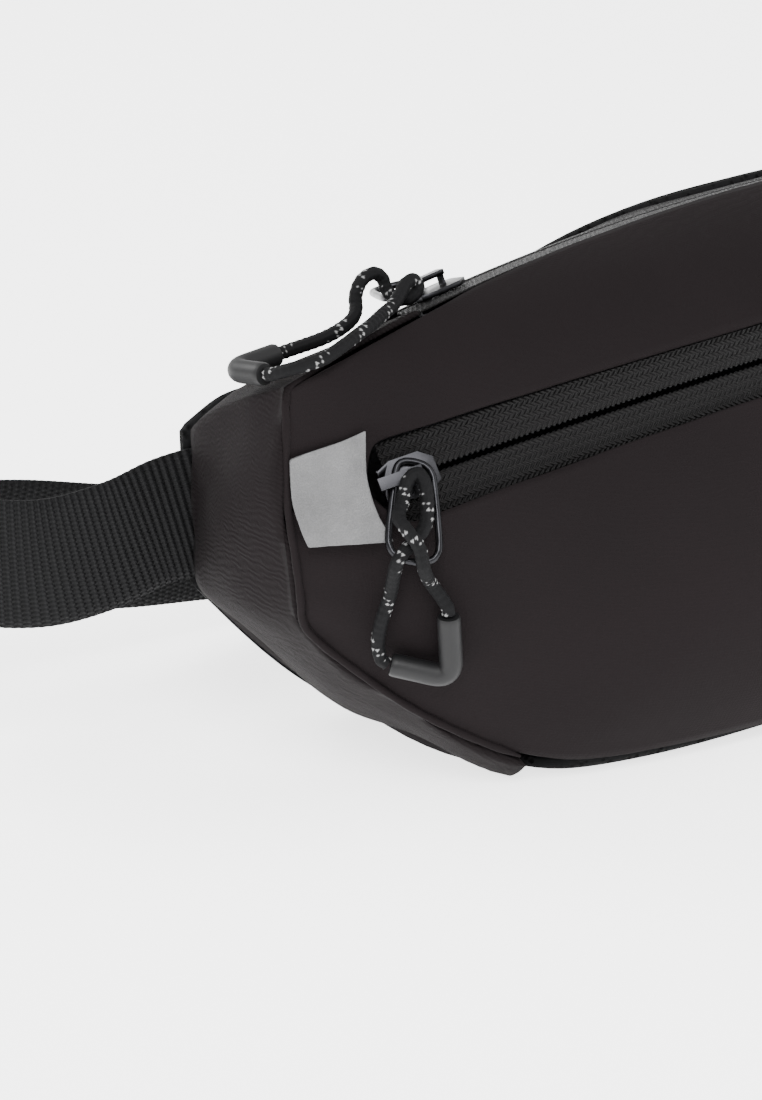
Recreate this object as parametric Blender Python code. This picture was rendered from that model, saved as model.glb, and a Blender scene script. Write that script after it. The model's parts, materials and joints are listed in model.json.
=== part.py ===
"""Belt bag: a soft two-zip pouch on a 28 mm webbing belt with a side-release buckle.

Metres, +Z up, -Y is the front of the bag. Left and right in names are as seen from the front,
so left is -X. Fabric panels are thin closed shells between named edge curves, so every panel
follows the same few dimensions.
"""

import math

import bmesh
import bpy
from mathutils import Matrix, Vector

# ---- overall bag ----
HALF = 0.135            # half width of the front panel, to its side seam
TOP_Z = 0.104           # height of the top at the middle
TOP_RADIUS = 0.618      # the top edge is an arc of this radius
TOP_FRONT_Y = 0.0095    # the front panel's top edge at the middle
TOP_SWEEP = 0.0055      # how much further forward it is at the ends, along the top
BACK_SET_IN = 0.004     # the back panel is this much narrower at each side
BACK_HALF = HALF - BACK_SET_IN
BACK_Y = 0.029          # inner face of the back panel at the middle
BACK_TOP = TOP_Z - 0.006  # height of its top edge at the middle
BACK_DROP = 0.022       # how much lower that edge is near the ends
BACK_WRAP = 0.0150      # how much further back it is at the ends
FOOT_Y = -0.036         # front edge of the floor at the middle
FOOT_SWEEP = 0.036      # how far that edge sweeps back at the ends
FOOT_Z = 0.0022         # height of the front panel's lower edge
CORNER_X = 0.080        # where the lower corners start to rise
CORNER_RISE = 0.038     # how much they rise
FLOOR_RISE = 0.034      # how much the floor's edge rises at the ends
BELLY = 0.0105          # bulge of the pocket panel
BROW = 0.0040           # bulge of the upper front panel
SEAM_PULL = 0.0030      # extra fullness of the front panels at the side seam
ORIGIN_Y = 0.0227       # the bag's reference plane lies this far in front of the origin

# ---- walls and clearances ----
FABRIC = 0.0012
BACK_SKIN = 0.0024
FOAM = 0.0040
LINING = 0.0008
GAP = 0.0003
FLOOR_LIFT = 0.0018     # the floor's front edge turns up this much to the front panel
LIP = 0.0045            # the back panel's lower edge turns forward at least this far
SEAM = 0.0019           # a panel stops this far short of a seam that it meets at a corner

# ---- zips: a chain on a round arc, so its slider turns about the arc's axis ----
FRONT_ZIP_Y = -0.030
FRONT_ZIP_Z = TOP_Z - 0.0215
FRONT_ZIP_RADIUS = 0.313
FRONT_ZIP_TILT = math.radians(34)
FRONT_ZIP_END = 0.1205
FRONT_ZIP_OPENING = 0.0074   # half height of the opening at the middle
TOP_ZIP_SET_BACK = 0.0105    # from the front panel's top edge to the chain
TOP_ZIP_TILT = math.radians(18)
TOP_ZIP_END = 0.097
TAPE = 0.0005
TAPE_DEPTH = 0.0016     # the tape's face lies this far inside the fabric's face
COIL_GAP = 0.0007       # half the slot between the two coils
COIL_WIDTH = 0.0021
COIL_HEIGHT = 0.0015

# ---- sliders and pulls ----
SLIDER_LENGTH = 0.0118
SLIDER_WIDTH = 0.0088
SLIDER_PLATE = 0.0011
CROWN_START = -0.0070   # the crown reaches past the slider's nose
CROWN_END = 0.0024
CROWN_WIDTH = 0.0026
CROWN_POST = 0.0016
CROWN_BAR = 0.0011
CROWN_GAP = 0.0020
NECK = 0.0008
WIRE = 0.0016
RING_LENGTH = 0.0204
RING_OVER = 0.0046      # how far it reaches past the hinge's middle
RING_TOP = 0.0072       # width of the wire loop at its upper end
RING_BOTTOM = 0.0114
CORD = 0.0028
GRIP = 0.0048
FRONT_REST_X = -0.1139
FRONT_CROSSING = -0.0035 # the wire's hinge line, along the slider
FRONT_PULL_LEAN = -4.2   # degrees that the loop leans in, to lie on the pocket
FRONT_PULL_TURN = -28.0
TOP_CROSSING = -0.0035
TOP_PULL_TURN = -36.0
TOP_PULL_LEAN = -2.0
TOP_PULL_LIFT = -6.0
TOP_REST_X = -0.0845

# ---- belt ----
WEBBING_WIDTH = 0.028
WEBBING = 0.0015
BELT_Z = 0.0512
REAR_Y = 0.0850
REAR_Z = 0.0185

# ---- buckle, lengths along the belt from its middle ----
BUCKLE_RIM = 0.0030         # above and below the webbing
BUCKLE_HALF = WEBBING_WIDTH / 2 + BUCKLE_RIM
BUCKLE_DEPTH = 0.0118       # outside, through the belt
BUCKLE_WALL = 0.0026
MOUTH = -0.0080             # the socket's open end
SOCKET_END = 0.0300
CAVITY_END = 0.0240
BUCKLE_SIDE = 0.0039        # wall above and below the cavity
CAVITY_HALF = BUCKLE_HALF - BUCKLE_SIDE
WINDOW = (-0.0002, 0.0205)  # where the prongs show at the socket's sides
SOCKET_BAR = 0.0420
PLUG_BAR = -0.0370
BAR_DIAMETER = 0.0034
PRONG_PIVOT = (-0.0095, CAVITY_HALF - 0.0031)
PRONG_SLOT = 0.0030         # half height of the slot that a prong leaves the plug by
PRONG_DEPTH = 0.0058
KEEPER_X = 0.098            # an elastic keeper round the strap
KEEPER_WIDTH = 0.014
KEEPER_WALL = 0.0014


def clear_scene():
    for found in list(bpy.data.objects):
        bpy.data.objects.remove(found, do_unlink=True)


def material(name, colour, roughness, metallic=0.0):
    made = bpy.data.materials.new(name)
    made.use_nodes = True
    shader = made.node_tree.nodes["Principled BSDF"]
    shader.inputs["Base Color"].default_value = (*colour, 1.0)
    shader.inputs["Roughness"].default_value = roughness
    shader.inputs["Metallic"].default_value = metallic
    return made


SHELL = ((0.040, 0.035, 0.034), 0.78)
MESH_CLOTH = ((0.016, 0.016, 0.017), 0.9)
TAPE_CLOTH = ((0.014, 0.014, 0.015), 0.85)
COIL = ((0.010, 0.010, 0.011), 0.35)
REFLECTIVE = ((0.42, 0.42, 0.43), 0.45)
GUNMETAL = ((0.09, 0.09, 0.095), 0.28, 0.9)
CORD_YARN = ((0.020, 0.020, 0.022), 0.8)
MOULDED = ((0.035, 0.035, 0.037), 0.5)
BELT_CLOTH = ((0.018, 0.018, 0.019), 0.8)
FOAM_GREY = ((0.12, 0.12, 0.13), 0.9)
ELASTIC = ((0.012, 0.012, 0.013), 0.85)


def link(name, mesh, finish, parent):
    mesh.materials.append(material(name, *finish))
    made = bpy.data.objects.new(name, mesh)
    bpy.context.scene.collection.objects.link(made)
    made.parent = parent
    return made


def empty(name, parent=None, location=(0, 0, 0)):
    made = bpy.data.objects.new(name, None)
    bpy.context.scene.collection.objects.link(made)
    made.parent = parent
    made.location = location
    return made


def close(mesh_data, name):
    """A mesh from a bmesh whose faces all point out."""
    bmesh.ops.remove_doubles(mesh_data, verts=mesh_data.verts, dist=1e-6)
    bmesh.ops.recalc_face_normals(mesh_data, faces=mesh_data.faces)
    if mesh_data.calc_volume(signed=True) < 0:
        bmesh.ops.reverse_faces(mesh_data, faces=mesh_data.faces)
    mesh = bpy.data.meshes.new(name)
    mesh_data.to_mesh(mesh)
    mesh_data.free()
    return mesh


def grid_normals(grid):
    rows = len(grid)
    columns = len(grid[0])
    normals = []
    for i in range(rows):
        line = []
        for j in range(columns):
            down = grid[min(i + 1, rows - 1)][j] - grid[max(i - 1, 0)][j]
            across = grid[i][min(j + 1, columns - 1)] - grid[i][max(j - 1, 0)]
            line.append(down.cross(across).normalized())
        normals.append(line)
    return normals


def shell(name, grid, wall, finish, parent, outward):
    """A closed sheet: grid is its outer face, and wall its thickness, laid on the inner side."""
    normals = grid_normals(grid)
    middle = normals[len(grid) // 2][len(grid[0]) // 2]
    sign = -1.0 if middle.dot(Vector(outward)) > 0 else 1.0
    made = bmesh.new()
    outer = [[made.verts.new(p) for p in line] for line in grid]
    inner = [
        [made.verts.new(p + n * sign * wall) for p, n in zip(line, turned)]
        for line, turned in zip(grid, normals)
    ]
    rows = len(grid)
    columns = len(grid[0])
    for i in range(rows - 1):
        for j in range(columns - 1):
            for face in (outer, inner):
                made.faces.new(
                    (face[i][j], face[i][j + 1], face[i + 1][j + 1], face[i + 1][j])
                )
    rim = [(0, j) for j in range(columns)]
    rim += [(i, columns - 1) for i in range(1, rows)]
    rim += [(rows - 1, j) for j in range(columns - 2, -1, -1)]
    rim += [(i, 0) for i in range(rows - 2, 0, -1)]
    for (i, j), (k, m) in zip(rim, rim[1:] + rim[:1]):
        made.faces.new((outer[i][j], outer[k][m], inner[k][m], inner[i][j]))
    return link(name, close(made, name), finish, parent)


def bar(name, stations, finish, parent):
    """A closed solid through a row of equal cross-sections, each a list of corner points."""
    made = bmesh.new()
    rings = [[made.verts.new(p) for p in ring] for ring in stations]
    count = len(rings[0])
    for one, two in zip(rings, rings[1:]):
        for k in range(count):
            n = (k + 1) % count
            made.faces.new((one[k], one[n], two[n], two[k]))
    made.faces.new(rings[0])
    made.faces.new(reversed(rings[-1]))
    return link(name, close(made, name), finish, parent)


def add_box(made, low, high):
    """Adds a box to a bmesh."""
    corners = [
        made.verts.new((x, y, z))
        for x in (low[0], high[0])
        for y in (low[1], high[1])
        for z in (low[2], high[2])
    ]
    for face in ((0, 1, 3, 2), (4, 6, 7, 5), (0, 4, 5, 1), (2, 3, 7, 6), (0, 2, 6, 4), (1, 5, 7, 3)):
        made.faces.new([corners[k] for k in face])


def extruded(name, outline, low, high, finish, parent, bevel=0.0):
    """An outline in the XZ plane, extruded from y=low to y=high."""
    stations = [[Vector((x, y, z)) for x, z in outline] for y in (low, high)]
    made = bar(name, stations, finish, parent)
    if bevel:
        rounding = made.modifiers.new("rounding", "BEVEL")
        rounding.width = bevel
        rounding.segments = 2
        rounding.limit_method = "ANGLE"
        rounding.angle_limit = math.radians(50)
    return made


def smooth_step(low, high, value):
    t = min(max((value - low) / (high - low), 0.0), 1.0)
    return t * t * (3 - 2 * t)


def through(points, step):
    """Points a step apart along a smooth curve through the given ones."""
    points = [Vector(p) for p in points]
    ends = [points[0] * 2 - points[1], *points, points[-1] * 2 - points[-2]]
    dense = []
    for a, b, c, d in zip(ends, ends[1:], ends[2:], ends[3:]):
        for k in range(16):
            t = k / 16
            dense.append(
                0.5 * (2 * b + (c - a) * t + (2 * a - 5 * b + 4 * c - d) * t * t
                       + (3 * b - a - 3 * c + d) * t ** 3)
            )
    dense.append(points[-1])
    lengths = [0.0]
    for a, b in zip(dense, dense[1:]):
        lengths.append(lengths[-1] + (b - a).length)
    count = max(2, round(lengths[-1] / step))
    found = []
    k = 0
    for n in range(count + 1):
        target = lengths[-1] * n / count
        while k < len(dense) - 2 and lengths[k + 1] < target:
            k += 1
        share = (target - lengths[k]) / max(lengths[k + 1] - lengths[k], 1e-9)
        found.append(dense[k].lerp(dense[k + 1], min(max(share, 0.0), 1.0)))
    return found


def tube(name, points, diameter, finish, parent, closed=False, sides=2):
    """A round bar along points, as a curve with a bevel."""
    curve = bpy.data.curves.new(name, "CURVE")
    curve.dimensions = "3D"
    curve.bevel_depth = diameter / 2
    curve.bevel_resolution = sides
    curve.use_fill_caps = not closed
    curve.resolution_u = 1
    curve.render_resolution_u = 0
    spline = curve.splines.new("POLY")
    spline.points.add(len(points) - 1)
    for point, place in zip(spline.points, points):
        point.co = (*place, 1.0)
    spline.use_cyclic_u = closed
    return link(name, curve, finish, parent)


# ---- the edge curves that the panels share ----
def reach(x):
    return abs(x) / HALF


def on_cylinder(x, across, out, radius, middle, rise):
    """A point of a zip's cylinder. At the middle, across runs along its axis and out along its
    normal; rise is the angle of the axis above the horizontal."""
    drop = radius - math.sqrt((radius + out) ** 2 - x * x)
    return Vector((
        x,
        middle[0] + math.sin(rise) * drop + math.cos(rise) * across,
        middle[1] - math.cos(rise) * drop + math.sin(rise) * across,
    ))


def top_point(x, across, out=0.0):
    """The top zip's cylinder; across runs backward, and it falls to the back."""
    chain = (TOP_FRONT_Y + TOP_ZIP_SET_BACK * math.cos(TOP_ZIP_TILT),
             TOP_Z - TOP_ZIP_SET_BACK * math.sin(TOP_ZIP_TILT))
    return on_cylinder(x, across, out, TOP_RADIUS, chain, -TOP_ZIP_TILT)


def top_front(x):
    return top_point(x, -TOP_ZIP_SET_BACK - TOP_SWEEP * reach(x) ** 4)


def back_y(x):
    return BACK_Y + BACK_WRAP * reach(x) ** 2.4


def back_top_z(x):
    drop = BACK_DROP * smooth_step(0.020, 0.110, abs(x))
    return BACK_TOP - drop - 0.008 * smooth_step(0.119, HALF, abs(x))


def foot_front(x):
    over = max(0.0, abs(x) - CORNER_X) / (HALF - CORNER_X)
    y = FOOT_Y + FOOT_SWEEP * reach(x) ** 2.6
    return Vector((x, y, FOOT_Z + CORNER_RISE * over ** 1.8))


FOOT_END = 0.088        # beyond this the floor's front edge turns back, along the side panel


def floor_edge(x):
    """Front or side edge of the back panel's floor part, on its outer face."""
    away = abs(x)
    front = foot_front(x).y
    y = front + (back_y(x) - front) * smooth_step(FOOT_END, 0.110, away)
    over = max(0.0, away - 0.096) / (BACK_HALF - 0.096)
    return Vector((x, y, FLOOR_RISE * over ** 1.35))


def zip_point(x, across, out=0.0):
    """A point on the front zip's cylinder; across runs up the tape and out is its normal."""
    chain = (FRONT_ZIP_Y, FRONT_ZIP_Z)
    return on_cylinder(x, across, out, FRONT_ZIP_RADIUS, chain, math.pi / 2 - FRONT_ZIP_TILT)


def opening(x):
    """Half height of the front zip's opening, which closes past the zip's ends."""
    away = abs(x)
    tall = FRONT_ZIP_OPENING + 0.0016 * (away / FRONT_ZIP_END) ** 2
    return GAP + (tall - GAP) * (1 - smooth_step(FRONT_ZIP_END - 0.003, FRONT_ZIP_END + 0.003, away))


def bulged(start, end, amount, t, outward):
    """A point on the curve from start to end that bulges outward in the YZ plane."""
    chord = end - start
    normal = Vector((0.0, -chord.z, chord.y)).normalized()
    if normal.dot(Vector(outward)) < 0:
        normal.negate()
    one = start + chord * 0.30 + normal * amount * 1.333
    two = start + chord * 0.70 + normal * amount * 1.333
    s = 1 - t
    return start * s ** 3 + one * 3 * s * s * t + two * 3 * s * t * t + end * t ** 3


def fade(x):
    return 1 - 0.75 * smooth_step(0.06, HALF, abs(x))


def front_columns(margin):
    fine = [0.1050, 0.1130, 0.1175, 0.1192, 0.1208, 0.1224, 0.1240, 0.1290]
    far = [x for x in (0.0, 0.018, 0.036, 0.054, 0.070, 0.084, 0.095, *fine) if x < HALF - margin - 0.003]
    half = [*far, HALF - margin]
    return [-x for x in reversed(half[1:])] + half


def seam_pull(x, share):
    """The front panels are cut fuller at the side seam, most of all at the zip's height."""
    amount = SEAM_PULL * share * smooth_step(0.124, HALF - SEAM, abs(x))
    return Vector((math.copysign(amount, x), amount, 0))


def upper_panel(parent):
    rows = [0.0, 0.2, 0.4, 0.6, 0.8, 1.0]
    grid = []
    for share in rows:
        line = []
        for x in front_columns(SEAM):
            edge = zip_point(x, opening(x))
            start = top_front(x)
            inset = SEAM if abs(x) > TOP_ZIP_END - 0.006 else 3 * GAP
            t = share + (1 - share) * inset / (edge - start).length
            pull = seam_pull(x, math.sin(math.pi / 2 * t))
            line.append(bulged(start, edge, BROW * fade(x), t, (0, -1, 1)) + pull)
        grid.append(line)
    return shell("front_panel_upper", grid, FABRIC, SHELL, parent, (0, -1, 1))


def pocket_panel(parent):
    rows = [0.0, 0.1, 0.22, 0.34, 0.48, 0.62, 0.76, 0.88, 1.0]
    grid = []
    for share in rows:
        line = []
        for x in front_columns(SEAM):
            edge = zip_point(x, -opening(x))
            foot = foot_front(x)
            t = share * (1 - SEAM / (foot - edge).length)
            pull = seam_pull(x, math.cos(math.pi / 2 * t))
            line.append(bulged(edge, foot, BELLY * fade(x), t, (0, -1, 0)) + pull)
        grid.append(line)
    return shell("front_pocket_panel", grid, FABRIC, SHELL, parent, (0, -1, 0))


def side_front(t):
    """Side seam of the front panels on one side, t from 0 at its foot to 1 at its top."""
    split = 0.34
    if t < split:
        share = 1 - t / split
        edge = zip_point(-HALF, -GAP)
        point = bulged(edge, foot_front(-HALF), BELLY * fade(HALF), share, (0, -1, 0))
        return point + seam_pull(-HALF, math.cos(math.pi / 2 * share))
    share = 1 - (t - split) / (1 - split)
    edge = zip_point(-HALF, GAP)
    point = bulged(top_front(-HALF), edge, BROW * fade(HALF), share, (0, -1, 1))
    return point + seam_pull(-HALF, math.sin(math.pi / 2 * share))


def side_edges(steps):
    """Matching points on the side panel's front and back seams, from the foot to the top."""
    front = []
    back = []
    slot = WEBBING + 3 * GAP
    for n in range(steps):
        front.append(foot_front(-(FOOT_END + (HALF - FOOT_END) * n / steps)))
        x = -(FOOT_END + (BACK_HALF - FOOT_END) * n / steps)
        edge = floor_edge(x)
        edge.y = min(edge.y, back_y(x) - slot)
        back.append(edge)
    low = floor_edge(-BACK_HALF)
    low.y = back_y(-BACK_HALF) - slot
    high = Vector((-BACK_HALF, low.y, back_top_z(BACK_HALF)))
    for n in range(steps + 1):
        t = n / steps
        front.append(side_front(t))
        point = low.lerp(high, t)
        point.x -= 0.001 * math.sin(math.pi * t)
        back.append(point)
    for n in range(1, steps + 1):
        front.append(top_front(-(HALF + (TOP_ZIP_END - HALF) * n / steps)))
        x = -(BACK_HALF + (TOP_ZIP_END - BACK_HALF) * n / steps)
        back.append(Vector((x, back_y(x) - slot, back_top_z(x))))
    return front, back


def side_panel(name, side, parent):
    front, back = side_edges(8)
    first = 1
    grid = []
    for s in (0.0, 0.25, 0.5, 0.75, 1.0):
        line = []
        for k in range(first, len(front)):
            a = front[k]
            b = back[k]
            span = b - a
            along = front[min(k + 1, len(front) - 1)] - front[k - 1]
            normal = along.cross(span).normalized()
            if normal.dot(Vector((-1, 0, 0.2))) < 0:
                normal.negate()
            inset = min((FABRIC - 0.0007) / max(span.length, 1e-6), 0.3)
            share = inset + (1 - 2 * inset) * s
            puff = 0.0022 * 4 * share * (1 - share) * min(1.0, span.length / 0.03)
            point = a.lerp(b, share) + normal * puff
            line.append(Vector((point.x * side, point.y, max(point.z, 0.0001))))
        grid.append(line)
    return shell(name, grid, FABRIC, SHELL, parent, (-side, 0, 0.1))


def back_columns():
    middle = [0.0, 0.02, 0.04, 0.06, 0.075, 0.086, 0.092, 0.097, 0.101, 0.105, 0.110, 0.116, 0.122, 0.1265]
    half = [x for x in middle if x < BACK_HALF - 0.003] + [BACK_HALF]
    return [-x for x in reversed(half[1:])] + half


def back_path(x, rows):
    """From the top edge down the back, round the heel and forward along the floor."""
    top = Vector((x, back_y(x) + BACK_SKIN, back_top_z(x) - 0.0005))
    edge = floor_edge(x)
    front = edge.y + SEAM if abs(x) < FOOT_END else edge.y + SEAM + 0.0006
    low = edge.z
    heel = Vector((x, top.y, low))
    end = Vector((x, min(front, top.y - LIP), low))
    radius = min(0.016, (heel - end).length * 0.8, (top - heel).length * 0.8)
    start_round = heel + Vector((0, 0, radius))
    end_round = heel + Vector((0, -radius, 0))
    line = []
    for n in range(rows):
        line.append(top.lerp(start_round, n / rows))
    for n in range(5):
        t = n / 4
        line.append(start_round * (1 - t) ** 2 + heel * 2 * t * (1 - t) + end_round * t * t)
    turn_up = end + Vector((0, min(0.010, (end_round - end).length * 0.5), 0))
    for n in range(1, rows):
        line.append(end_round.lerp(turn_up, n / (rows - 1)))
    line.append(end + Vector((0, 0, FLOOR_LIFT)))
    return line


def back_panel(parent):
    columns = [back_path(x, 6) for x in back_columns()]
    grid = [list(row) for row in zip(*columns)]
    return shell("back_panel", grid, BACK_SKIN, MESH_CLOTH, parent, (0, 1, 0))


def foam_pad(parent):
    grid = []
    for n in range(6):
        line = []
        for k in range(13):
            x = -0.100 + 0.200 * k / 12
            low = 0.022 + 0.010 * smooth_step(0.07, 0.10, abs(x))
            z = low + (back_top_z(x) - 0.006 - low) * n / 5
            line.append(Vector((x, back_y(x) - 2 * GAP, z)))
        grid.append(line)
    return shell("back_foam_pad", grid, FOAM, FOAM_GREY, parent, (0, 1, 0))


def divider(parent):
    """Lining between the front pocket and the main compartment."""
    grid = []
    for t in (0.0, 0.15, 0.35, 0.6, 0.85, 1.0):
        line = []
        for k in range(13):
            x = -0.106 + 0.212 * k / 12
            hem = zip_point(x, 0.0065, -0.0075)
            foot = foot_front(x) + Vector((0, 0.0110, 0.0065))
            line.append(hem.lerp(foot, t))
        grid.append(line)
    return shell("pocket_lining", grid, LINING, TAPE_CLOTH, parent, (0, -1, 0))


def arc_columns(end, count=24):
    return [-end + 2 * end * k / count for k in range(count + 1)]


def front_tape(name, sign, parent):
    grid = []
    for share in (0.0, 1.0):
        line = []
        for x in arc_columns(FRONT_ZIP_END - 0.0032):
            across = COIL_GAP + (opening(x) - 0.0002 - COIL_GAP) * share
            line.append(zip_point(x, sign * across, -TAPE_DEPTH))
        grid.append(line)
    return shell(name, grid, TAPE, TAPE_CLOTH, parent, (0, -1, 0.5))


def front_coil(name, sign, parent):
    stations = []
    out = -TAPE_DEPTH - TAPE - GAP
    for x in arc_columns(FRONT_ZIP_END - 0.0055):
        low = sign * COIL_GAP
        high = sign * (COIL_GAP + COIL_WIDTH)
        stations.append([
            zip_point(x, low, out),
            zip_point(x, high, out),
            zip_point(x, high, out - COIL_HEIGHT),
            zip_point(x, low, out - COIL_HEIGHT),
        ])
    return bar(name, stations, COIL, parent)


def top_tape(name, sign, parent):
    grid = [[], [], []]
    depth = -TAPE_DEPTH / 2
    for x in arc_columns(TOP_ZIP_END - 0.0012):
        if sign < 0:
            edge = top_front(x) + Vector((0, 0.0014, -0.0012))
        else:
            edge = Vector((x, back_y(x) - 0.0006, back_top_z(x) - 0.0012))
        grid[0].append(top_point(x, sign * COIL_GAP, depth))
        grid[1].append(top_point(x, sign * SLIDER_WIDTH * 0.58, depth))
        grid[2].append(edge)
    return shell(name, grid, TAPE, TAPE_CLOTH, parent, (0, 0, 1))


def top_coil(name, sign, parent):
    stations = []
    out = -TAPE_DEPTH / 2 - TAPE - GAP
    for x in arc_columns(TOP_ZIP_END - 0.0035):
        low = sign * COIL_GAP
        high = sign * (COIL_GAP + COIL_WIDTH)
        stations.append([
            top_point(x, low, out),
            top_point(x, high, out),
            top_point(x, high, out - COIL_HEIGHT),
            top_point(x, low, out - COIL_HEIGHT),
        ])
    return bar(name, stations, COIL, parent)


def cover_point(x, across, proud):
    """A point this far in front of both the zip's cylinder and the panels sewn to it."""
    out = zip_point(x, 0.0, 1.0) - zip_point(x, 0.0)
    if across > 0:
        start, end, amount = top_front(x), zip_point(x, GAP), BROW
        t = 1 - across / (end - start).length
        facing = (0, -1, 1)
    else:
        start, end, amount = zip_point(x, -GAP), foot_front(x), BELLY
        t = -across / (end - start).length
        facing = (0, -1, 0)
    cloth = bulged(start, end, amount * fade(x), t, facing)
    round_face = zip_point(x, across)
    pull = seam_pull(x, math.sin(math.pi / 2 * t) if across > 0 else math.cos(math.pi / 2 * t))
    return max(cloth, round_face, key=lambda point: point.dot(out)) + out * proud + pull


def tab(name, side, parent):
    """Reflective tab sewn over the zip's end, its inner edge notched for the slider."""
    grid = []
    for share in (-1.0, -0.5, 0.0, 0.5, 1.0):
        line = []
        for k in range(6):
            t = k / 5
            inner = FRONT_ZIP_END + 0.0004 - 0.0006 * share + 0.0016 * (1 - share * share)
            x = inner + (HALF - 0.0016 - inner) * t
            tall = 0.0112 - 0.0022 * t
            point = cover_point(x, share * tall + 0.001 * t, TAPE + GAP + 0.0006 * t ** 3)
            line.append(Vector((point.x * side, point.y, point.z)))
        grid.append(line)
    return shell(name, grid, TAPE, REFLECTIVE, parent, (0, -1, 0.3))


# ---- sliders: local X along the chain, Y across it, Z out of the fabric ----
def slider_frame(name, parent, chain, x):
    """An empty on a zip's chain at x, its Z along the cylinder's normal."""
    place = chain(x, 0.0)
    along = (chain(x + 0.001, 0.0) - chain(x - 0.001, 0.0)).normalized()
    across = (chain(x, 0.001) - place).normalized()
    out = along.cross(across)
    made = empty(name, parent)
    turn = Matrix((along, across, out)).transposed().to_4x4()
    made.matrix_local = Matrix.Translation(place) @ turn
    return made


def plate(outline, low, high):
    return [[Vector((x, y, z)) for x, y in outline] for z in (low, high)]


def crown_height(tape_face):
    """Height of the slider's upper plate over the fabric's face."""
    return tape_face + GAP + SLIDER_PLATE


def slider(name, frame, tape_face):
    """Two plates joined by a neck, and a crown that the pull's wire passes under."""
    plate_low = tape_face + GAP
    plate_high = crown_height(tape_face)
    under_high = tape_face - TAPE - GAP - COIL_HEIGHT - GAP
    under_low = under_high - SLIDER_PLATE
    half = SLIDER_LENGTH / 2
    wide = SLIDER_WIDTH / 2
    outline = [(-half, -wide * 0.7), (-half * 0.5, -wide), (half * 0.55, -wide), (half, -wide * 0.55),
               (half, wide * 0.55), (half * 0.55, wide), (-half * 0.5, wide), (-half, wide * 0.7)]
    made = bar(name, plate(outline, plate_low, plate_high), GUNMETAL, frame)
    neck_low = under_low + SLIDER_PLATE / 2
    neck_high = plate_low + SLIDER_PLATE / 2
    unite(made, (-half * 0.9, -NECK / 2, neck_low), (-half * 0.35, NECK / 2, neck_high))
    unite(made, (-half * 0.9, -wide * 0.85, under_low), (half * 0.9, wide * 0.85, under_high))
    ceiling = plate_high + CROWN_GAP
    unite(made, (CROWN_START, -CROWN_WIDTH / 2, ceiling), (CROWN_END, CROWN_WIDTH / 2, ceiling + CROWN_BAR))
    for low in (-half + 0.0001, CROWN_END - 0.0009):
        unite(made, (low, -CROWN_POST / 2, plate_high - SLIDER_PLATE / 2),
              (low + 0.0008, CROWN_POST / 2, ceiling + CROWN_BAR / 2))
    return made


def unite(target, low, high):
    combine(target, low, high, "UNION")


def combine(target, low, high, operation):
    """Adds a box to an object, or cuts it away, in the coordinates of the object's parent."""
    made = bmesh.new()
    add_box(made, low, high)
    tool = bpy.data.objects.new(target.name + "_part", close(made, target.name + "_part"))
    bpy.context.scene.collection.objects.link(tool)
    tool.parent = target.parent
    tool.hide_render = True
    tool.display_type = "WIRE"
    boolean = target.modifiers.new(operation.lower(), "BOOLEAN")
    boolean.operation = operation
    boolean.solver = "EXACT"
    boolean.object = tool


def rounded(corners, radii, steps=4):
    """A closed outline in the XY plane whose corners are rounded."""
    points = []
    for k, (x, y) in enumerate(corners):
        here = Vector((x, y, 0))
        before = Vector((*corners[k - 1], 0)) - here
        after = Vector((*corners[(k + 1) % len(corners)], 0)) - here
        start = here + before.normalized() * radii[k]
        end = here + after.normalized() * radii[k]
        for n in range(steps + 1):
            t = n / steps
            points.append(start * (1 - t) ** 2 + here * 2 * t * (1 - t) + end * t * t)
    return points


def ring(name, frame, length):
    """Wire loop of the pull. Its left leg is the hinge, on the frame's Y axis, and it hangs to -Y."""
    lean = RING_BOTTOM - RING_TOP
    high = RING_OVER
    corners = [(0.0, high), (RING_TOP, high), (RING_TOP + lean, high - length), (0.0, high - length)]
    points = rounded(corners, [0.0026, 0.0036, 0.0052, 0.0052])
    return tube(name, points, WIRE, GUNMETAL, frame, closed=True)


def turned(axis, degrees):
    return Matrix.Rotation(math.radians(degrees), 4, axis)


def pull_frame(name, slider_empty, tape_face, x, tilt):
    """An empty on the wire's hinge line, under the crown, turned about the slider's X by tilt."""
    made = empty(name, slider_empty)
    height = crown_height(tape_face) + CROWN_GAP / 2
    made.matrix_local = Matrix.Translation((x, 0, height)) @ tilt
    return made


def zip_pull(word, bag, chain, x, tape_face, crossing, tilt):
    """Slider and wire loop of one zip."""
    frame = slider_frame(word + "_slider_frame", bag, chain, x)
    slider(word + "_slider", frame, tape_face)
    hinge = pull_frame(word + "_pull_frame", frame, tape_face, crossing, tilt)
    ring(word + "_pull_ring", hinge, RING_LENGTH)
    return hinge


def in_frame(frame, points):
    """Points of the bag, in millimetres, given in a frame's own coordinates."""
    bpy.context.view_layer.update()
    world = bpy.data.objects["bag_frame"].matrix_world
    inverse = frame.matrix_world.inverted()
    return [inverse @ (world @ (Vector(point) * 0.001)) for point in points]


def soft_corner(first, corner, last, radius, steps=6):
    """Points from first to last through a rounded corner."""
    start = corner + (first - corner).normalized() * radius
    end = corner + (last - corner).normalized() * radius
    points = [first, first.lerp(start, 0.5)]
    for n in range(steps + 1):
        t = n / steps
        points.append(start * (1 - t) ** 2 + corner * 2 * t * (1 - t) + end * t * t)
    return [*points, last.lerp(end, 0.5), last]


def pull_cord(word, hinge, pivot, grip_ends, route):
    """Moulded V grip and the cord between its two arms."""
    swing = empty(word + "_grip_frame", hinge, pivot)
    first, corner, last = in_frame(swing, grip_ends)
    tube(word + "_pull_grip", soft_corner(first, corner, last, 0.0042), GRIP, MOULDED, swing, sides=4)
    tube(word + "_pull_cord", through(in_frame(hinge, route), 0.0022), CORD, CORD_YARN, hinge)


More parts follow.
